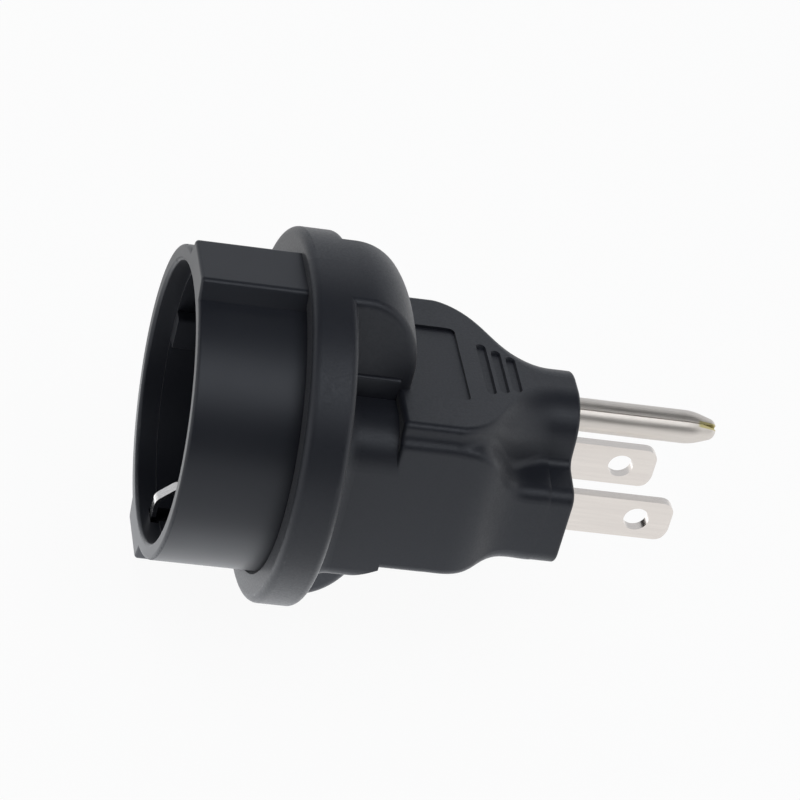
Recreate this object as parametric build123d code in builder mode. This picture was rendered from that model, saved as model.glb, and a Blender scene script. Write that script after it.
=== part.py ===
from build123d import *
import os
from math import cos, radians, sin, sqrt

# Travel adapter: an earthed recessed socket at one end and a three-pin plug at the other.
# Millimetres. X runs along the adapter, with the origin in the middle of the plug face.
# +X points out along the plug's pins and +Z towards its earth pin.

os.makedirs("parts", exist_ok=True)

# Plug pins
blade_pitch = 12.7
blade_width = 6.35
blade_thickness = 1.5
blade_length = 17.1
blade_corner = 2.0
blade_bevel = 0.3
blade_bevel_length = 0.8
blade_hole_radius = 1.85
blade_hole_distance = 11.9
earth_offset = 11.89
earth_pin_radius = 2.38
earth_pin_length = 21.65
earth_shank_step = 0.2
earth_tip_length = 3.6
earth_tip_radius = 1.25
earth_tip_curve = 8.0
earth_nose_round = 1.2
earth_seam = 0.14
earth_seam_depth = 0.5
earth_seam_angle = 38.0
earth_slit = 0.7
earth_slit_length = 2.4

# Socket recess and its insert
socket_pitch = 19.0
pin_reach = 19.0
pin_hole_radius = 2.75
pin_hole_lead = 0.5
recess_radius = 19.75
recess_depth = 17.5
recess_step = 0.35
recess_step_depth = 3.0
cup_wall = 2.25
rim_round = 0.5
base_thickness = 2.0
guide_rib_width = 5.0
guide_rib_height = 2.75
guide_rib_round = 0.4
housing_foot_width = 11.8
housing_top_width = 9.8
housing_height = 1.95
housing_round = 0.8
channel_clearance = 0.7
channel_setback = 1.8
channel_depth = 2.85

# Contacts, cover and bridge inside the moulding
contact_radius = 3.2
contact_wall = 0.8
contact_end = 1.0
contact_clearance = 0.1
contact_slot = 1.2
contact_slot_length = 12.0
tower_wall = 1.3
cover_thickness = 1.8
stake_radius = 0.6
stake_reach = 2.2
bridge_skin = 1.5
bridge_thickness = 5.5
bridge_margin = 1.0

# Leads and the crimps at their ends
conductor_radius = 0.8
insulation_radius = 1.4
crimp_depth = 2.0
crimp_floor = 0.5
crimp_stub = 0.5
lead_straight = 0.8
lead_room = 7.9

# Earth bracket, one folded strip
strip_thickness = 0.6
strip_width = 1.8
strip_bend = 1.3
strip_clearance = 0.1
arm_inset = 1.15
clip_depth = 2.2
clip_shoulder_radius = 16.6
clip_shoulder_bend = 1.5
clip_apex_depth = 5.2
clip_apex_radius = 13.8
clip_apex_bend = 1.6
clip_end_depth = 12.0
clip_end_radius = 17.8

# Flange, hoods and neck of the moulding
flange_rim = 4.4
flange_thickness = 6.4
flange_back_wall = 1.7
flange_front_round = 1.2
flange_back_round = 1.2
flange_groove = 0.5
hood_width = 16.0
hood_straight = 1.3
hood_overlap = 2.0
hood_drop = 11.0
hood_round = 1.3
hood_root = 9.0
lip_height = 3.3
lip_proud = 0.5
lip_round = 0.4
neck_length = 8.4
neck_top = 10.4
neck_bottom = 14.6
neck_top_round = 6.5
neck_bottom_round = 2.0
neck_flare = 3.2
heel_reach = 1.6
heel_length = 4.4

# Block and plug end of the moulding
body_width = 34.4
body_top = 12.0
body_bottom = 12.3
block_end_round = 0.8
ridge_width = 32.2
ridge_round = 1.0
ridge_foot_width = 32.4
ridge_foot_round = 1.6
ledge_drop = 1.2
shoulder_height = 8.7
shoulder_round = 1.5
keel_round = 1.2
plug_width = 27.6
plug_top = 11.0
plug_bottom = 11.3
plug_lobe_width = 12.8
plug_lobe_round = 5.8
plug_waist_width = 15.0
plug_waist_round = 1.5
plug_shoulder_height = 1.2
plug_shoulder_round = 2.2
plug_keel_round = 2.5
plug_face_round = 0.5
ridge_taper_start = 19.8
ridge_taper_end = 3.4
flare_start = 16.0
flare_end = 7.6
taper_stations = 6

# Marks in the moulding's surface
label_end = 17.0
label_width = 17.4
label_depth = 0.45
label_round = 0.9
label_gap = 0.4
grip_count = 3
grip_first = 13.5
grip_spacing = 2.05
grip_length = 11.6
grip_shortening = 1.8
grip_width = 1.0
grip_depth = 0.5
grip_slope = 25.0

# How close two places are to count as the same when edges are chosen
near = 0.001

# Places that follow from the sizes above, counted back from the plug face
blade_z = -earth_offset / 2
earth_z = earth_offset / 2
bridge_rear_x = -bridge_skin - bridge_thickness
crimp_length = crimp_depth + crimp_floor
crimp_x = bridge_rear_x - crimp_length
bend_x = crimp_x - lead_room
contact_crimp_x = bend_x - lead_straight
cover_rear_x = contact_crimp_x - crimp_stub
cover_front_x = cover_rear_x - cover_thickness
floor_x = cover_front_x - pin_reach
base_rear_x = floor_x + base_thickness
mouth_x = floor_x - recess_depth
web_rear_x = base_rear_x + strip_thickness
bracket_crimp_x = web_rear_x + crimp_length
flange_back_x = base_rear_x + flange_back_wall
flange_front_x = flange_back_x - flange_thickness
flange_root_x = flange_back_x - flange_back_round
block_x = flange_back_x + neck_length
hood_end_x = block_x + hood_overlap
heel_x = block_x + heel_reach

# Sizes across the adapter that follow from the sizes above
cup_radius = recess_radius + cup_wall
deep_radius = recess_radius - recess_step
rib_radius = recess_radius - guide_rib_height
flange_radius = cup_radius + flange_rim
housing_top = cup_radius + housing_height
channel_top = recess_radius + channel_depth
channel_width = strip_width + 2 * channel_clearance
chamber_radius = contact_radius + contact_clearance
tower_radius = chamber_radius + tower_wall
stake_y = (socket_pitch - chamber_radius - tower_radius) / 2
arm_z = recess_radius + arm_inset
half_width = body_width / 2
earth_shank_radius = earth_pin_radius + earth_shank_step

# Ends of the three leads, at the mouths of their crimps
line_start = Vector(contact_crimp_x, -socket_pitch / 2, 0)
line_end = Vector(crimp_x, -blade_pitch / 2, blade_z)
neutral_start = Vector(contact_crimp_x, socket_pitch / 2, 0)
neutral_end = Vector(crimp_x, blade_pitch / 2, blade_z)
earth_start = Vector(bracket_crimp_x, 0, 0)
earth_end = Vector(crimp_x, 0, earth_z)


def rod(radius, start, end, mode=Mode.ADD):
    """A round bar along X at the current location."""
    with Locations(((start + end) / 2, 0, 0)):
        Cylinder(radius, end - start, rotation=(0, 90, 0), mode=mode)


def bar(start, end, width, low, high, mode=Mode.ADD):
    """A box along X between two heights, centred across the current location."""
    with Locations(((start + end) / 2, 0, (low + high) / 2)):
        Box(end - start, width, high - low, mode=mode)


def lead(start, end, outer, inner=0.0, bared=0.0, mode=Mode.ADD):
    """A round rod or sleeve that runs along X, across to the line of its end and along X again."""
    bared_start = Vector(start.X - bared, start.Y, start.Z)
    bared_end = Vector(end.X + bared, end.Y, end.Z)
    with BuildLine() as path:
        Polyline(
            bared_start,
            Vector(bend_x, start.Y, start.Z),
            Vector(end.X - lead_straight, end.Y, end.Z),
            bared_end,
        )
    with BuildSketch(Plane.YZ.offset(bared_start.X)) as section:
        with Locations((start.Y, start.Z)):
            Circle(outer)
            if inner:
                Circle(inner, mode=Mode.SUBTRACT)
    sweep(section.sketch, path=path.line, transition=Transition.RIGHT, mode=mode)


def blend(x, start, end):
    """How far a taper has gone at X, from 0 to 1, with soft ends."""
    share = min(max((x + start) / (start - end), 0.0), 1.0)
    return share * share * (3 - 2 * share)


def mix(share, first, last):
    """The value a share of the way from the first to the last."""
    return first + (last - first) * share


def body_top_at(x):
    """Height of the block's top at X."""
    return mix(blend(x, ridge_taper_start, ridge_taper_end), body_top, plug_top)


def body_section(x):
    """The outline across the block at X, which turns from a box into the plug's bell shape."""
    ridge = blend(x, ridge_taper_start, ridge_taper_end)
    flare = blend(x, flare_start, flare_end)
    side = mix(flare, body_width, plug_width) / 2
    top = body_top_at(x)
    bottom = -mix(flare, body_bottom, plug_bottom)
    ledge = mix(flare, shoulder_height, plug_shoulder_height)
    lobe = (mix(ridge, ridge_width, plug_lobe_width) / 2, top)
    foot = (mix(ridge, ridge_foot_width, plug_waist_width) / 2, ledge + ledge_drop)
    shoulder = (side, ledge)
    keel = (side, bottom)
    rounds = [
        mix(flare, ridge_round, plug_lobe_round),
        mix(flare, ridge_foot_round, plug_waist_round),
        mix(flare, shoulder_round, plug_shoulder_round),
        mix(flare, keel_round, plug_keel_round),
    ]
    near_side = [lobe, foot, shoulder, keel]
    far_side = [(-y, z) for y, z in reversed(near_side)]
    with BuildSketch(Plane.YZ.offset(x)) as outline:
        with BuildLine():
            FilletPolyline(*near_side, *far_side, radius=[*rounds, *reversed(rounds)], close=True)
        make_face()
    return outline.sketch


def stem_outline(x):
    """Flat-sided section of the neck."""
    with BuildSketch(Plane.YZ.offset(x)) as outline:
        with BuildLine():
            FilletPolyline(
                (0, neck_top),
                (half_width, neck_top),
                (half_width, -neck_bottom),
                (0, -neck_bottom),
                radius=[neck_top_round, neck_bottom_round],
            )
            mirror(about=Plane.YZ)
        make_face()
    return outline.sketch


def housing_outline(x):
    """Section of both clip housings, rooted in the wall of the cup."""
    foot = housing_foot_width / 2
    foot_z = sqrt(cup_radius**2 - foot**2)
    root_z = (recess_radius + foot_z) / 2
    with BuildSketch(Plane.YZ.offset(x)) as outline:
        with BuildLine():
            FilletPolyline(
                (0, root_z),
                (foot, root_z),
                (foot, foot_z),
                (housing_top_width / 2, housing_top),
                (0, housing_top),
                radius=[0, 0, housing_round],
            )
            mirror(about=Plane.YZ)
        make_face()
        mirror(about=Plane.XZ)
    return outline.sketch


def cover_outline(x):
    """Section of the contact cover, which spans both towers."""
    with BuildSketch(Plane.YZ.offset(x)) as outline:
        SlotOverall(socket_pitch + 2 * tower_radius, 2 * tower_radius)
    return outline.sketch


def stakes(mode=Mode.ADD):
    """Pegs on the towers that hold the cover and key the insert into the moulding."""
    with Locations((0, -stake_y, 0), (0, stake_y, 0)):
        rod(stake_radius, cover_front_x, cover_rear_x + stake_reach, mode)


def bridge_outline(x):
    """Section of the inner block that carries the pins."""
    with BuildSketch(Plane.YZ.offset(x)) as outline:
        with Locations((0, blade_z)):
            Rectangle(blade_pitch + blade_thickness + 2 * bridge_margin, blade_width + 2 * bridge_margin)
        Rectangle(2 * (earth_shank_radius + bridge_margin), earth_offset)
        with Locations((0, earth_z)):
            Circle(earth_shank_radius + bridge_margin)
    return outline.sketch


def contact(side):
    """A spring sleeve in its chamber, with a crimp barrel out through the cover."""
    with Locations((0, side * socket_pitch / 2, 0)):
        rod(contact_radius, base_rear_x, cover_front_x)
        rod(contact_radius - contact_wall, base_rear_x, cover_front_x - contact_end, Mode.SUBTRACT)
        slot_end_x = base_rear_x + contact_slot_length
        bar(base_rear_x, slot_end_x, contact_slot, -contact_radius, contact_radius, Mode.SUBTRACT)
        rod(insulation_radius, cover_front_x, contact_crimp_x)
        rod(conductor_radius, contact_crimp_x - crimp_depth, contact_crimp_x, Mode.SUBTRACT)


def blade(side):
    """A flat blade with its hole, run back through the bridge to a crimp barrel."""
    low = blade_z - blade_width / 2
    high = blade_z + blade_width / 2
    with BuildSketch(Plane.XZ.offset(-side * blade_pitch / 2)) as outline:
        with BuildLine():
            FilletPolyline(
                (bridge_rear_x, low),
                (blade_length, low),
                (blade_length, high),
                (bridge_rear_x, high),
                radius=[blade_corner, blade_corner],
            )
            Line((bridge_rear_x, high), (bridge_rear_x, low))
        make_face()
        with Locations((blade_hole_distance, blade_z)):
            Circle(blade_hole_radius, mode=Mode.SUBTRACT)
    extrude(outline.sketch, amount=blade_thickness / 2, both=True)
    with BuildSketch(Plane((0, side * blade_pitch / 2, blade_z))) as plan:
        with BuildLine():
            bevel_x = blade_length - blade_bevel_length
            tip = blade_thickness / 2 - blade_bevel
            Polyline(
                (bridge_rear_x, 0),
                (bridge_rear_x, blade_thickness / 2),
                (bevel_x, blade_thickness / 2),
                (blade_length, tip),
                (blade_length, 0),
            )
            mirror(about=Plane.XZ)
        make_face()
    extrude(plan.sketch, amount=blade_width / 2, both=True, mode=Mode.INTERSECT)
    with Locations((0, side * blade_pitch / 2, blade_z)):
        rod(insulation_radius, crimp_x, bridge_rear_x)
        rod(conductor_radius, crimp_x, crimp_x + crimp_depth, Mode.SUBTRACT)


# The socket's insert: cup, clip housings, guide ribs and the towers for the contacts
with BuildPart() as socket_cup:
    extrude(housing_outline(mouth_x), amount=base_rear_x - mouth_x)
    mouth_edges = socket_cup.edges().group_by(Axis.X)[0]
    fillet(mouth_edges.filter_by(lambda e: abs(e.center().Z) > cup_radius - cup_wall / 2), rim_round)
    with BuildSketch(Plane.XZ):
        with BuildLine():
            FilletPolyline(
                (base_rear_x, 0),
                (base_rear_x, cup_radius),
                (mouth_x, cup_radius),
                (mouth_x, recess_radius),
                (mouth_x + recess_step_depth, recess_radius),
                (mouth_x + recess_step_depth, deep_radius),
                (floor_x, deep_radius),
                (floor_x, 0),
                radius=[0, rim_round, rim_round, 0, 0, 0],
            )
            Line((floor_x, 0), (base_rear_x, 0))
        make_face()
    revolve(axis=Axis.X)
    bar(mouth_x + channel_setback, floor_x, channel_width, -channel_top, channel_top, Mode.SUBTRACT)
    slot_low = arm_z - strip_bend - strip_clearance
    slot_high = arm_z + strip_thickness / 2 + strip_clearance
    for low, high in ((slot_low, slot_high), (-slot_high, -slot_low)):
        bar(floor_x, base_rear_x, strip_width + 2 * strip_clearance, low, high, Mode.SUBTRACT)
    for side in (-1, 1):
        rib_root = recess_radius + cup_wall / 2
        with BuildSketch(Plane.YZ.offset(mouth_x + recess_step_depth)):
            with Locations((side * (rib_radius + rib_root) / 2, 0)):
                Rectangle(rib_root - rib_radius, guide_rib_width)
        extrude(amount=recess_depth - recess_step_depth)
        with Locations((0, side * socket_pitch / 2, 0)):
            rod(tower_radius, base_rear_x, cover_front_x)
            rod(chamber_radius, base_rear_x, cover_front_x, Mode.SUBTRACT)
            rod(pin_hole_radius, floor_x, base_rear_x, Mode.SUBTRACT)
    stakes()
    rib_edges = socket_cup.edges().filter_by(Axis.X)
    fillet(rib_edges.filter_by(lambda e: abs(abs(e.center().Y) - rib_radius) < near), guide_rib_round)
    hole_edges = socket_cup.edges().filter_by(GeomType.CIRCLE)
    hole_edges = hole_edges.filter_by(lambda e: abs(e.radius - pin_hole_radius) < near)
    chamfer(hole_edges.group_by(Axis.X)[0], pin_hole_lead)
socket_cup.part.label = "socket_cup"
export_step(socket_cup.part, "parts/socket_cup.step")

# The cover that closes both contact chambers
with BuildPart() as contact_cover:
    extrude(cover_outline(cover_front_x), amount=cover_thickness)
    with BuildSketch(Plane.YZ.offset(cover_front_x)):
        with GridLocations(socket_pitch / 2, 0, 3, 1):
            Circle(insulation_radius)
    extrude(amount=cover_thickness, mode=Mode.SUBTRACT)
    stakes(Mode.SUBTRACT)
contact_cover.part.label = "contact_cover"
export_step(contact_cover.part, "parts/contact_cover.step")

with BuildPart() as line_contact:
    contact(-1)
line_contact.part.label = "line_contact"
export_step(line_contact.part, "parts/line_contact.step")

with BuildPart() as neutral_contact:
    contact(1)
neutral_contact.part.label = "neutral_contact"
export_step(neutral_contact.part, "parts/neutral_contact.step")

# The earth strip: across the back of the cup, forward in both housings and in again as spring clips
with BuildPart() as earth_bracket:
    web_x = (base_rear_x + web_rear_x) / 2
    upper = [
        (web_x, arm_z),
        (mouth_x + clip_depth, arm_z),
        (mouth_x + clip_depth, clip_shoulder_radius),
        (mouth_x + clip_apex_depth, clip_apex_radius),
        (mouth_x + clip_end_depth, clip_end_radius),
    ]
    lower = [(x, -z) for x, z in reversed(upper)]
    bends = [strip_bend, strip_bend, clip_shoulder_bend, clip_apex_bend]
    with BuildSketch(Plane.XZ):
        with BuildLine():
            FilletPolyline(*lower, *upper, radius=[*reversed(bends), *bends])
        trace(line_width=strip_thickness)
    extrude(amount=strip_width / 2, both=True)
    rod(insulation_radius, web_rear_x, bracket_crimp_x)
    rod(conductor_radius, bracket_crimp_x - crimp_depth, bracket_crimp_x, Mode.SUBTRACT)
earth_bracket.part.label = "earth_bracket"
export_step(earth_bracket.part, "parts/earth_bracket.step")

# The plug's pins and the inner block that holds them at their pitch
with BuildPart() as line_blade:
    blade(-1)
line_blade.part.label = "line_blade"
export_step(line_blade.part, "parts/line_blade.step")

with BuildPart() as neutral_blade:
    blade(1)
neutral_blade.part.label = "neutral_blade"
export_step(neutral_blade.part, "parts/neutral_blade.step")

with BuildPart() as earth_pin:
    earth_plane = Plane(origin=(0, 0, earth_z), x_dir=(1, 0, 0), z_dir=(0, -1, 0))
    with BuildSketch(earth_plane):
        with BuildLine():
            FilletPolyline(
                (bridge_rear_x, 0),
                (bridge_rear_x, earth_shank_radius),
                (0, earth_shank_radius),
                (0, earth_pin_radius),
                (earth_pin_length - earth_tip_length, earth_pin_radius),
                (earth_pin_length, earth_tip_radius),
                (earth_pin_length, 0),
                radius=[0, 0, 0, earth_tip_curve, earth_nose_round],
            )
            Line((earth_pin_length, 0), (bridge_rear_x, 0))
        make_face()
    revolve(axis=Axis((0, 0, earth_z), (1, 0, 0)))
    with Locations(Location((0, 0, earth_z), (earth_seam_angle, 0, 0))):
        seam_low = earth_pin_radius - earth_seam_depth
        bar(0, earth_pin_length, earth_seam, seam_low, earth_pin_radius + earth_seam_depth, Mode.SUBTRACT)
        rod(insulation_radius, crimp_x, bridge_rear_x)
        rod(conductor_radius, crimp_x, crimp_x + crimp_depth, Mode.SUBTRACT)
    seam_way = (0, -sin(radians(earth_seam_angle)), cos(radians(earth_seam_angle)))
    with BuildSketch(Plane(origin=(0, 0, earth_z), x_dir=(1, 0, 0), z_dir=seam_way)):
        with BuildLine():
            Polyline(
                (earth_pin_length - earth_slit_length, 0),
                (earth_pin_length, -earth_slit / 2),
                (earth_pin_length, earth_slit / 2),
                close=True,
            )
        make_face()
    extrude(amount=earth_pin_radius, mode=Mode.SUBTRACT)
earth_pin.part.label = "earth_pin"
export_step(earth_pin.part, "parts/earth_pin.step")

with BuildPart() as pin_bridge:
    extrude(bridge_outline(bridge_rear_x), amount=bridge_thickness)
    for side in (-1, 1):
        with Locations((0, side * blade_pitch / 2, blade_z)):
            low, high = -blade_width / 2, blade_width / 2
            bar(bridge_rear_x, -bridge_skin, blade_thickness, low, high, Mode.SUBTRACT)
    with Locations((0, 0, earth_z)):
        rod(earth_shank_radius, bridge_rear_x, -bridge_skin, Mode.SUBTRACT)
pin_bridge.part.label = "pin_bridge"
export_step(pin_bridge.part, "parts/pin_bridge.step")

# The three leads, each a bared conductor in its insulation
with BuildPart() as line_conductor:
    lead(line_start, line_end, conductor_radius, bared=crimp_depth)
line_conductor.part.label = "line_conductor"
export_step(line_conductor.part, "parts/line_conductor.step")

with BuildPart() as line_insulation:
    lead(line_start, line_end, insulation_radius, conductor_radius)
line_insulation.part.label = "line_insulation"
export_step(line_insulation.part, "parts/line_insulation.step")

with BuildPart() as neutral_conductor:
    lead(neutral_start, neutral_end, conductor_radius, bared=crimp_depth)
neutral_conductor.part.label = "neutral_conductor"
export_step(neutral_conductor.part, "parts/neutral_conductor.step")

with BuildPart() as neutral_insulation:
    lead(neutral_start, neutral_end, insulation_radius, conductor_radius)
neutral_insulation.part.label = "neutral_insulation"
export_step(neutral_insulation.part, "parts/neutral_insulation.step")

with BuildPart() as earth_conductor:
    lead(earth_start, earth_end, conductor_radius, bared=crimp_depth)
earth_conductor.part.label = "earth_conductor"
export_step(earth_conductor.part, "parts/earth_conductor.step")

with BuildPart() as earth_insulation:
    lead(earth_start, earth_end, insulation_radius, conductor_radius)
earth_insulation.part.label = "earth_insulation"
export_step(earth_insulation.part, "parts/earth_insulation.step")

# Hoods of the moulding, over and under the neck
with BuildPart() as hoods:
    with BuildSketch(Plane.XZ):
        with BuildLine():
            hood_reach = hood_end_x - flange_back_x - hood_straight
            hood_middle = (flange_back_x + hood_straight, flange_radius - hood_drop)
            crown = EllipticalCenterArc(hood_middle, hood_reach, hood_drop, start_angle=0, arc_size=90)
            Polyline(
                crown @ 1,
                (flange_root_x, flange_radius),
                (flange_root_x, hood_root),
                (hood_end_x, hood_root),
                crown @ 0,
            )
        make_face()
    revolve(axis=Axis.X)
    bar(flange_root_x, hood_end_x, hood_width, -flange_radius, flange_radius, Mode.INTERSECT)
    crown_edges = hoods.edges().filter_by(lambda e: abs(e.center().Y) > hood_width / 2 - near)
    crown_edges = crown_edges.filter_by(lambda e: abs(e.center().Z) > flange_radius - hood_drop)
    fillet(crown_edges.filter_by(lambda e: e.center().X > flange_root_x + near), hood_round)

# Neck of the moulding, flared into the flange, with the heel under it and the lip along the upper hood
with BuildPart() as neck:
    extrude(stem_outline(flange_root_x), amount=heel_x - flange_root_x)
    rod(flange_radius - flange_back_round, flange_root_x, flange_back_x)
    flange_back = neck.faces().filter_by(Axis.X).sort_by(Axis.X)[1]
    fillet(flange_back.inner_wires()[0].edges(), neck_flare)
    with BuildSketch(Plane.XZ):
        with BuildLine():
            Polyline(
                (heel_x, -body_bottom),
                (heel_x, -neck_bottom),
                (heel_x - heel_length, -neck_bottom),
                close=True,
            )
        make_face()
    extrude(amount=half_width, both=True, mode=Mode.SUBTRACT)
    bar(flange_root_x, block_x, hood_width + 2 * lip_proud, 0, neck_top + lip_height)
    fillet(neck.edges().filter_by(Axis.X).group_by(Axis.Z)[-1], lip_round)

# The moulding: marked block and plug end, then neck, hoods and flange, then room for what it holds
with BuildPart() as overmould_body:
    extrude(body_section(block_x), amount=-ridge_taper_start - block_x)
    step = (ridge_taper_start - ridge_taper_end) / taper_stations
    loft([body_section(-ridge_taper_start + i * step) for i in range(taper_stations + 1)])
    extrude(body_section(-ridge_taper_end), amount=ridge_taper_end)
    fillet(overmould_body.faces().sort_by(Axis.X)[-1].edges(), plug_face_round)
    fillet(overmould_body.faces().sort_by(Axis.X)[0].edges(), block_end_round)
    label_start_x = hood_end_x + label_gap
    with BuildSketch(Plane.XY.offset(body_top - label_depth)):
        with Locations(((label_start_x - label_end) / 2, 0)):
            RectangleRounded(-label_end - label_start_x, label_width, label_round)
    extrude(amount=2 * label_depth, mode=Mode.SUBTRACT)
    for i in range(grip_count):
        grip_x = -grip_first + i * grip_spacing
        with BuildSketch(Plane.XY.offset(body_top_at(grip_x) - grip_depth)):
            with Locations((grip_x, 0)):
                SlotOverall(grip_length - i * grip_shortening, grip_width, rotation=90)
        extrude(amount=2 * grip_depth, taper=-grip_slope, mode=Mode.SUBTRACT)
    add(neck.part)
    add(hoods.part)
    with BuildSketch(Plane.XZ):
        with BuildLine():
            FilletPolyline(
                (flange_back_x, 0),
                (flange_back_x, flange_radius),
                (flange_front_x, flange_radius),
                (flange_front_x, cup_radius + flange_groove),
                (flange_front_x + flange_groove, cup_radius),
                (flange_front_x + flange_groove, 0),
                radius=[flange_back_round, flange_front_round, 0, 0],
            )
            Line((flange_front_x + flange_groove, 0), (flange_back_x, 0))
        make_face()
    revolve(axis=Axis.X)
    rod(cup_radius, mouth_x, base_rear_x, Mode.SUBTRACT)
    extrude(housing_outline(mouth_x), amount=base_rear_x - mouth_x, mode=Mode.SUBTRACT)
    extrude(cover_outline(cover_front_x), amount=cover_thickness, mode=Mode.SUBTRACT)
    stakes(Mode.SUBTRACT)
    extrude(bridge_outline(bridge_rear_x), amount=bridge_thickness, mode=Mode.SUBTRACT)
    add(earth_bracket.part, mode=Mode.SUBTRACT)
    for start, end in ((line_start, line_end), (neutral_start, neutral_end), (earth_start, earth_end)):
        lead(start, end, insulation_radius, bared=crimp_length, mode=Mode.SUBTRACT)
    for side in (-1, 1):
        with Locations((0, side * socket_pitch / 2, 0)):
            rod(tower_radius, base_rear_x, cover_front_x, Mode.SUBTRACT)
        with Locations((0, side * blade_pitch / 2, blade_z)):
            bar(-bridge_skin, 0, blade_thickness, -blade_width / 2, blade_width / 2, Mode.SUBTRACT)
    with Locations((0, 0, earth_z)):
        rod(earth_shank_radius, -bridge_skin, 0, Mode.SUBTRACT)
overmould_body.part.label = "overmould_body"
export_step(overmould_body.part, "parts/overmould_body.step")
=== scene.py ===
from math import cos, pi, radians, sin, tan

import bpy
from mathutils import Matrix, Vector


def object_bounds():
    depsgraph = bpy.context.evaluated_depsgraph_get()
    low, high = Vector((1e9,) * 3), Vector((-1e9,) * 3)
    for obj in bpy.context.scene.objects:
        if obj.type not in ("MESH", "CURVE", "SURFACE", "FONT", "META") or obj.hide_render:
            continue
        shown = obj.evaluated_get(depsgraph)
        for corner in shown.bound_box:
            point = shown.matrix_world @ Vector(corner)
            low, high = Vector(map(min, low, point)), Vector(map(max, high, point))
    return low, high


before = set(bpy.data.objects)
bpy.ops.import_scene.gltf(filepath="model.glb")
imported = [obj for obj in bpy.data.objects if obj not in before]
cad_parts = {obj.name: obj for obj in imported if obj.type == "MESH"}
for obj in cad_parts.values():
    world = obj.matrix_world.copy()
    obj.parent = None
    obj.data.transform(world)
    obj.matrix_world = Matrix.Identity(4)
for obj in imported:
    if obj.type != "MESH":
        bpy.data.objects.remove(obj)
cad_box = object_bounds()

MM = 0.001

# Camera, as fitted to the photograph: angles in degrees, lengths in millimetres
AZIMUTH = -16.32
ELEVATION = 33.04
ROLL = 15.76
DISTANCE = 548.2
TARGET = (-24.364, 0.0, 4.806)
LENS = 176.74
SENSOR = 36.0
CLIP_START = 10.0
CLIP_END = 10000.0

# Black plastics: the two shades that each one mottles between, its range of roughness and its sheen
MOULDING_SHADES = ((0.0100, 0.0112, 0.0165), (0.0130, 0.0142, 0.0195))
MOULDING_ROUGHNESS = (0.40, 0.52)
MOULDING_SHEEN = 0.12
INSERT_SHADES = ((0.0115, 0.0127, 0.0180), (0.0135, 0.0147, 0.0200))
INSERT_ROUGHNESS = (0.40, 0.46)
INSERT_SHEEN = 0.08
SHEEN_ROUGHNESS = 0.35
SPECULAR_TINT = (0.90, 0.94, 1.0)

# Textures: scales in features per metre, relief in millimetres
MOULDING_GRAIN = 3200.0
MOULDING_PATCH = 90.0
MOULDING_RELIEF = 0.02
MOULDING_RELIEF_SHARE = 0.35
INSERT_GRAIN = 2400.0
INSERT_PATCH = 60.0
INSERT_RELIEF = 0.01
INSERT_RELIEF_SHARE = 0.12
MARKS = 2600.0
MARKS_STRETCH = (0.05, 1.0, 1.0)
MARKS_RELIEF = 0.003
MARKS_RELIEF_SHARE = 0.1
METAL_MOTTLE = 700.0
PLASTIC_MOTTLE = 500.0
PLATED_SPREAD = 0.03
MOTTLE_SPREAD = 0.05

# Slit at the tip of the earth pin, in millimetres and degrees, and the brass that it bares
PIN_HEIGHT = 5.945
SEAM_ANGLE = 38.0
SLIT_START = 18.5
SLIT_FULL = 18.9
SLIT_EDGE = 0.5
SLIT_MIDDLE = 0.42
BRASS = (0.57, 0.51, 0.26)

# Floor, lights and cards: lengths in millimetres, the cards' edges as angles from straight up in degrees
FLOOR_GAP = 1.0
FLOOR_SIZE = 6000.0
FLOOR_COLOUR = (0.9, 0.9, 0.9)
FLOOR_GLOW = 0.94
SOFTBOX_WAY = (0.236, -0.545, 0.805)
SOFTBOX_DISTANCE = 700.0
SOFTBOX_SIZE = 360.0
SOFTBOX_RADIANCE = 1.25
FILL_HEIGHT = 560.0
FILL_SIZE = 500.0
FILL_RADIANCE = 1.2
BOUNCE_PLACE = (-36.0, 8.0)
BOUNCE_LIFT = 0.5
BOUNCE_SIZE = 80.0
BOUNCE_RADIANCE = 0.7
CARD_HEIGHT = 600.0
CARD_DISTANCE = 900.0
CARD_LENGTH = 1800.0
CARD_TOP_FRONT = 18.0
CARD_TOP_BACK = 35.0
CARD_NEAR_TOP = 52.0
CARD_FAR_TOP = 42.0
CARD_FAR_GLOW = 0.68
CARD_COLOUR = (0.06, 0.06, 0.06)
STAGE_ROUGHNESS = 0.9
WORLD_LIGHT = 0.5
WORLD_SEEN = 0.97
LIGHT_COLOUR = (0.94, 0.965, 1.0)


def material(name):
    """A new node material and its principled shader."""
    made = bpy.data.materials.new(name)
    made.use_nodes = True
    return made, made.node_tree.nodes["Principled BSDF"]


def node(made, kind, **settings):
    """A new node with its settings."""
    new = made.node_tree.nodes.new(kind)
    for key, value in settings.items():
        setattr(new, key, value)
    return new


def link(made, source, target):
    """Joins an output to an input in a material."""
    made.node_tree.links.new(source, target)


def noise(made, scale, detail):
    """Noise in the object's own coordinates, in features per metre."""
    place = node(made, "ShaderNodeTexCoord")
    grain = node(made, "ShaderNodeTexNoise")
    grain.inputs["Scale"].default_value = scale
    grain.inputs["Detail"].default_value = detail
    link(made, place.outputs["Object"], grain.inputs["Vector"])
    return grain.outputs["Fac"]


def spread(made, value, low, high, start=0.3, end=0.7):
    """Maps a value between start and end onto low to high, by default from the middle range of a noise."""
    ramp = node(made, "ShaderNodeMapRange")
    ramp.inputs["From Min"].default_value = start
    ramp.inputs["From Max"].default_value = end
    ramp.inputs["To Min"].default_value = low
    ramp.inputs["To Max"].default_value = high
    link(made, value, ramp.inputs["Value"])
    return ramp.outputs["Result"]


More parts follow.
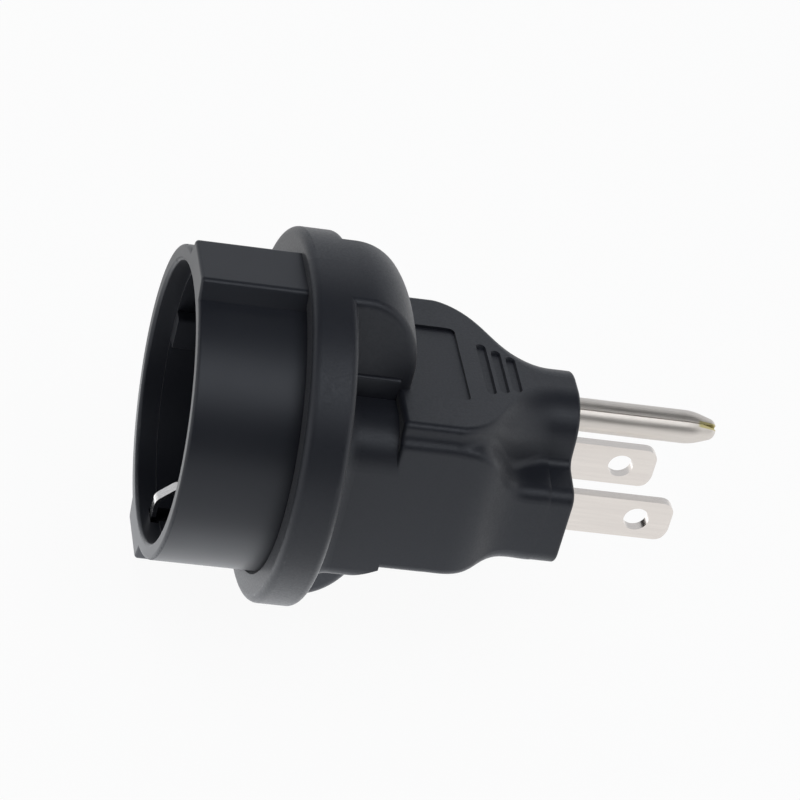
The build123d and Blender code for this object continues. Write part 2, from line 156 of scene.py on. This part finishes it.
def tint(made, value, dark, light):
    """A colour between two by a noise value."""
    mix = node(made, "ShaderNodeMix", data_type="RGBA")
    mix.inputs["A"].default_value = (*dark, 1)
    mix.inputs["B"].default_value = (*light, 1)
    link(made, spread(made, value, 0, 1), mix.inputs["Factor"])
    return mix.outputs["Result"]


def bump(made, height, depth, share):
    """A bump whose relief is depth, in millimetres, of which a share shows."""
    relief = node(made, "ShaderNodeBump")
    relief.inputs["Strength"].default_value = share
    relief.inputs["Distance"].default_value = depth * MM
    link(made, height, relief.inputs["Height"])
    return relief.outputs["Normal"]


def satin(shader, sheen):
    """A faint bluish sheen on black plastic."""
    shader.inputs["Sheen Weight"].default_value = sheen
    shader.inputs["Sheen Roughness"].default_value = SHEEN_ROUGHNESS
    shader.inputs["Specular Tint"].default_value = (*SPECULAR_TINT, 1)


def moulding():
    """Soft black plastic with a fine spark-eroded grain."""
    made, shader = material("moulding_black")
    grain = noise(made, MOULDING_GRAIN, 3.0)
    patch = noise(made, MOULDING_PATCH, 2.0)
    link(made, tint(made, patch, *MOULDING_SHADES), shader.inputs["Base Color"])
    link(made, spread(made, grain, *MOULDING_ROUGHNESS), shader.inputs["Roughness"])
    satin(shader, MOULDING_SHEEN)
    relief = bump(made, grain, MOULDING_RELIEF, MOULDING_RELIEF_SHARE)
    link(made, relief, shader.inputs["Normal"])
    return made


def insert():
    """Smooth hard black plastic with a soft gloss."""
    made, shader = material("insert_black")
    patch = noise(made, INSERT_PATCH, 3.0)
    grain = noise(made, INSERT_GRAIN, 2.0)
    link(made, tint(made, patch, *INSERT_SHADES), shader.inputs["Base Color"])
    link(made, spread(made, patch, *INSERT_ROUGHNESS), shader.inputs["Roughness"])
    satin(shader, INSERT_SHEEN)
    relief = bump(made, grain, INSERT_RELIEF, INSERT_RELIEF_SHARE)
    link(made, relief, shader.inputs["Normal"])
    return made


def slit_share(made):
    """1 in and close beside the slit at the earth pin's tip, else 0."""
    place = node(made, "ShaderNodeTexCoord")
    along = node(made, "ShaderNodeSeparateXYZ")
    link(made, place.outputs["Object"], along.inputs["Vector"])
    tip = spread(made, along.outputs["X"], 0, 1, SLIT_START * MM, SLIT_FULL * MM)
    aside = node(made, "ShaderNodeVectorMath", operation="SUBTRACT")
    aside.inputs[1].default_value = (0, 0, PIN_HEIGHT * MM)
    link(made, place.outputs["Object"], aside.inputs[0])
    across = node(made, "ShaderNodeVectorMath", operation="DOT_PRODUCT")
    across.inputs[1].default_value = (0, cos(radians(SEAM_ANGLE)), sin(radians(SEAM_ANGLE)))
    link(made, aside.outputs["Vector"], across.inputs[0])
    offset = node(made, "ShaderNodeMath", operation="ABSOLUTE")
    link(made, across.outputs["Value"], offset.inputs[0])
    close = spread(made, offset.outputs["Value"], 0, 1, SLIT_EDGE * MM, SLIT_MIDDLE * MM)
    product = node(made, "ShaderNodeMath", operation="MULTIPLY")
    link(made, tip, product.inputs[0])
    link(made, close, product.inputs[1])
    return product.outputs["Value"]


def plated(name, dark, light, rough, slit=False):
    """Nickel plate, with fine drawing marks along the pin and bare brass in the slit of a rolled one."""
    made, shader = material(name)
    place = node(made, "ShaderNodeTexCoord")
    stretch = node(made, "ShaderNodeMapping")
    stretch.inputs["Scale"].default_value = MARKS_STRETCH
    link(made, place.outputs["Object"], stretch.inputs["Vector"])
    marks = node(made, "ShaderNodeTexNoise")
    marks.inputs["Scale"].default_value = MARKS
    marks.inputs["Detail"].default_value = 3.0
    link(made, stretch.outputs["Vector"], marks.inputs["Vector"])
    value = marks.outputs["Fac"]
    shader.inputs["Metallic"].default_value = 1.0
    shade = tint(made, value, dark, light)
    if slit:
        bare = node(made, "ShaderNodeMix", data_type="RGBA")
        bare.inputs["B"].default_value = (*BRASS, 1)
        link(made, shade, bare.inputs["A"])
        link(made, slit_share(made), bare.inputs["Factor"])
        shade = bare.outputs["Result"]
    link(made, shade, shader.inputs["Base Color"])
    roughness = spread(made, value, rough - PLATED_SPREAD, rough + PLATED_SPREAD)
    link(made, roughness, shader.inputs["Roughness"])
    link(made, bump(made, value, MARKS_RELIEF, MARKS_RELIEF_SHARE), shader.inputs["Normal"])
    return made


def mottled(name, scale, dark, light, rough):
    """A material with a slight mottle in its colour and gloss."""
    made, shader = material(name)
    value = noise(made, scale, 3.0)
    link(made, tint(made, value, dark, light), shader.inputs["Base Color"])
    roughness = spread(made, value, rough - MOTTLE_SPREAD, rough + MOTTLE_SPREAD)
    link(made, roughness, shader.inputs["Roughness"])
    return made, shader


def metal(name, dark, light, rough):
    """Plain metal."""
    made, shader = mottled(name, METAL_MOTTLE, dark, light, rough)
    shader.inputs["Metallic"].default_value = 1.0
    return made


def plain_plastic(name, dark, light, rough):
    """Plain plastic."""
    return mottled(name, PLASTIC_MOTTLE, dark, light, rough)[0]


def dress(made, *names):
    """Gives CAD nodes a material."""
    for name in names:
        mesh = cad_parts[name].data
        mesh.materials.clear()
        mesh.materials.append(made)


def place_object(name, data):
    """A new object with its data, in the scene."""
    made = bpy.data.objects.new(name, data)
    bpy.context.scene.collection.objects.link(made)
    return made


def camera_axes():
    """Right, up and back of the camera in the row frame."""
    a, e, r = radians(AZIMUTH), radians(ELEVATION), radians(ROLL)
    back = Vector((sin(a) * cos(e), -cos(a) * cos(e), sin(e)))
    level = Vector((cos(a), sin(a), 0))
    rise = back.cross(level)
    right = level * cos(r) + rise * sin(r)
    up = rise * cos(r) - level * sin(r)
    return right, up, back


def add_camera():
    """The photograph's camera."""
    right, up, back = camera_axes()
    data = bpy.data.cameras.new("camera")
    data.sensor_width = SENSOR
    data.lens = LENS
    data.clip_start = CLIP_START * MM
    data.clip_end = CLIP_END * MM
    made = place_object("camera", data)
    place = (Vector(TARGET) + back * DISTANCE) * MM
    turn = Matrix((right, up, back)).transposed().to_4x4()
    made.matrix_world = Matrix.Translation(place) @ turn
    bpy.context.scene.camera = made


def add_light(name, place, aim, size, radiance):
    """A square soft box at a place, in millimetres, turned to face along aim, where radiance 1 is white."""
    data = bpy.data.lights.new(name, "AREA")
    data.shape = "SQUARE"
    data.size = size * MM
    data.energy = radiance * pi * (size * MM) ** 2
    data.color = LIGHT_COLOUR
    made = place_object(name, data)
    made.location = Vector(place) * MM
    made.rotation_euler = (-Vector(aim)).to_track_quat("Z", "Y").to_euler()
    return made


def add_lights(level):
    """A key soft box beside the camera, a fill overhead and the light that the table throws back."""
    way = Vector(SOFTBOX_WAY)
    key_place = Vector(TARGET) + way * SOFTBOX_DISTANCE
    add_light("softbox_key", key_place, -way, SOFTBOX_SIZE, SOFTBOX_RADIANCE)
    fill_place = (TARGET[0], 0, FILL_HEIGHT)
    fill = add_light("softbox_fill", fill_place, (0, 0, -1), FILL_SIZE, FILL_RADIANCE)
    fill.visible_glossy = False
    bounce_place = (*BOUNCE_PLACE, level + BOUNCE_LIFT)
    bounce = add_light("table_bounce", bounce_place, (0, 0, 1), BOUNCE_SIZE, BOUNCE_RADIANCE)
    bounce.visible_camera = False


def add_plane(name, made, half, start, end):
    """A flat stage piece from one edge to another, each with its y and z, in millimetres."""
    corners = [(-half, *start), (half, *start), (half, *end), (-half, *end)]
    mesh = bpy.data.meshes.new(name)
    mesh.from_pydata([Vector(corner) * MM for corner in corners], [], [(0, 1, 2, 3)])
    mesh.materials.append(made)
    piece = place_object(name, mesh)
    return piece


def matte(name, colour):
    """A dull material for the stage."""
    made, shader = material(name)
    shader.inputs["Base Color"].default_value = (*colour, 1)
    shader.inputs["Roughness"].default_value = STAGE_ROUGHNESS
    return made, shader


def seen_directly(tree):
    """1 for rays from the camera or by way of a mirror or glass, else 0."""
    rays = tree.nodes.new("ShaderNodeLightPath")
    value = rays.outputs["Is Camera Ray"]
    for name in ("Is Glossy Ray", "Is Transmission Ray"):
        either = tree.nodes.new("ShaderNodeMath")
        either.operation = "MAXIMUM"
        tree.links.new(value, either.inputs[0])
        tree.links.new(rays.outputs[name], either.inputs[1])
        value = either.outputs["Value"]
    return value


def add_floor(level):
    """A white table, mostly lit from within where it is seen, which keeps a faint shadow."""
    made, shader = matte("floor_white", FLOOR_COLOUR)
    tree = made.node_tree
    glow = node(made, "ShaderNodeEmission")
    share = node(made, "ShaderNodeMath", operation="MULTIPLY")
    share.inputs[1].default_value = FLOOR_GLOW
    link(made, seen_directly(tree), share.inputs[0])
    both = node(made, "ShaderNodeMixShader")
    link(made, share.outputs["Value"], both.inputs["Fac"])
    link(made, shader.outputs["BSDF"], both.inputs[1])
    link(made, glow.outputs["Emission"], both.inputs[2])
    link(made, both.outputs["Shader"], tree.nodes["Material Output"].inputs["Surface"])
    half = FLOOR_SIZE / 2
    add_plane("floor", made, half, (-half, level), (half, level))


def add_cards(level):
    """Dark cards overhead and in front and a grey one behind, which only reflections and light meet."""
    dark, _ = matte("card_black", CARD_COLOUR)
    grey, shader = matte("card_grey", CARD_COLOUR)
    shader.inputs["Emission Color"].default_value = (*LIGHT_COLOUR, 1)
    shader.inputs["Emission Strength"].default_value = CARD_FAR_GLOW
    front = -CARD_HEIGHT * tan(radians(CARD_TOP_FRONT))
    back = CARD_HEIGHT * tan(radians(CARD_TOP_BACK))
    near = CARD_DISTANCE / tan(radians(CARD_NEAR_TOP))
    far = CARD_DISTANCE / tan(radians(CARD_FAR_TOP))
    cards = (
        ("card_top", dark, (front, CARD_HEIGHT), (back, CARD_HEIGHT)),
        ("card_front", dark, (-CARD_DISTANCE, level), (-CARD_DISTANCE, near)),
        ("card_back", grey, (CARD_DISTANCE, level), (CARD_DISTANCE, far)),
    )
    for name, made, start, end in cards:
        add_plane(name, made, CARD_LENGTH / 2, start, end).visible_camera = False


def add_world():
    """White where it is seen, and a softer grey as light."""
    world = bpy.data.worlds.new("studio")
    bpy.context.scene.world = world
    world.use_nodes = True
    tree = world.node_tree
    tree.nodes.clear()
    seen = tree.nodes.new("ShaderNodeBackground")
    seen.inputs["Color"].default_value = (1, 1, 1, 1)
    seen.inputs["Strength"].default_value = WORLD_SEEN
    lit = tree.nodes.new("ShaderNodeBackground")
    lit.inputs["Color"].default_value = (*LIGHT_COLOUR, 1)
    lit.inputs["Strength"].default_value = WORLD_LIGHT
    both = tree.nodes.new("ShaderNodeMixShader")
    out = tree.nodes.new("ShaderNodeOutputWorld")
    tree.links.new(seen_directly(tree), both.inputs["Fac"])
    tree.links.new(lit.outputs["Background"], both.inputs[1])
    tree.links.new(seen.outputs["Background"], both.inputs[2])
    tree.links.new(both.outputs["Shader"], out.inputs["Surface"])


# What shows: the moulding, the cup, the pins and the earth clips
dress(moulding(), "overmould_body")
dress(insert(), "socket_cup")
blade_nickel = plated("blade_nickel", (0.74, 0.695, 0.66), (0.79, 0.745, 0.705), 0.24)
dress(blade_nickel, "line_blade", "neutral_blade")
pin_nickel = plated("pin_nickel", (0.70, 0.66, 0.62), (0.76, 0.72, 0.68), 0.43, slit=True)
dress(pin_nickel, "earth_pin")
dress(plated("clip_nickel", (0.62, 0.61, 0.60), (0.74, 0.73, 0.72), 0.22), "earth_bracket")

# What lies inside: the cover, the bridge, the contacts and the leads
cover_grey = plain_plastic("cover_grey", (0.08, 0.08, 0.085), (0.11, 0.11, 0.115), 0.5)
dress(cover_grey, "contact_cover", "pin_bridge")
contact_brass = metal("contact_brass", (0.62, 0.45, 0.20), (0.74, 0.56, 0.28), 0.3)
dress(contact_brass, "line_contact", "neutral_contact")
lead_copper = metal("lead_copper", (0.68, 0.34, 0.20), (0.80, 0.42, 0.26), 0.3)
dress(lead_copper, "line_conductor", "neutral_conductor", "earth_conductor")
dress(plain_plastic("sleeve_brown", (0.10, 0.045, 0.025), (0.14, 0.065, 0.035), 0.45), "line_insulation")
dress(plain_plastic("sleeve_blue", (0.03, 0.09, 0.30), (0.05, 0.13, 0.38), 0.45), "neutral_insulation")
dress(plain_plastic("sleeve_green", (0.10, 0.26, 0.04), (0.16, 0.34, 0.06), 0.45), "earth_insulation")

floor_level = cad_box[0][2] / MM - FLOOR_GAP
add_camera()
add_world()
add_floor(floor_level)
add_cards(floor_level)
add_lights(floor_level)
bpy.context.scene.view_settings.view_transform = "Standard"
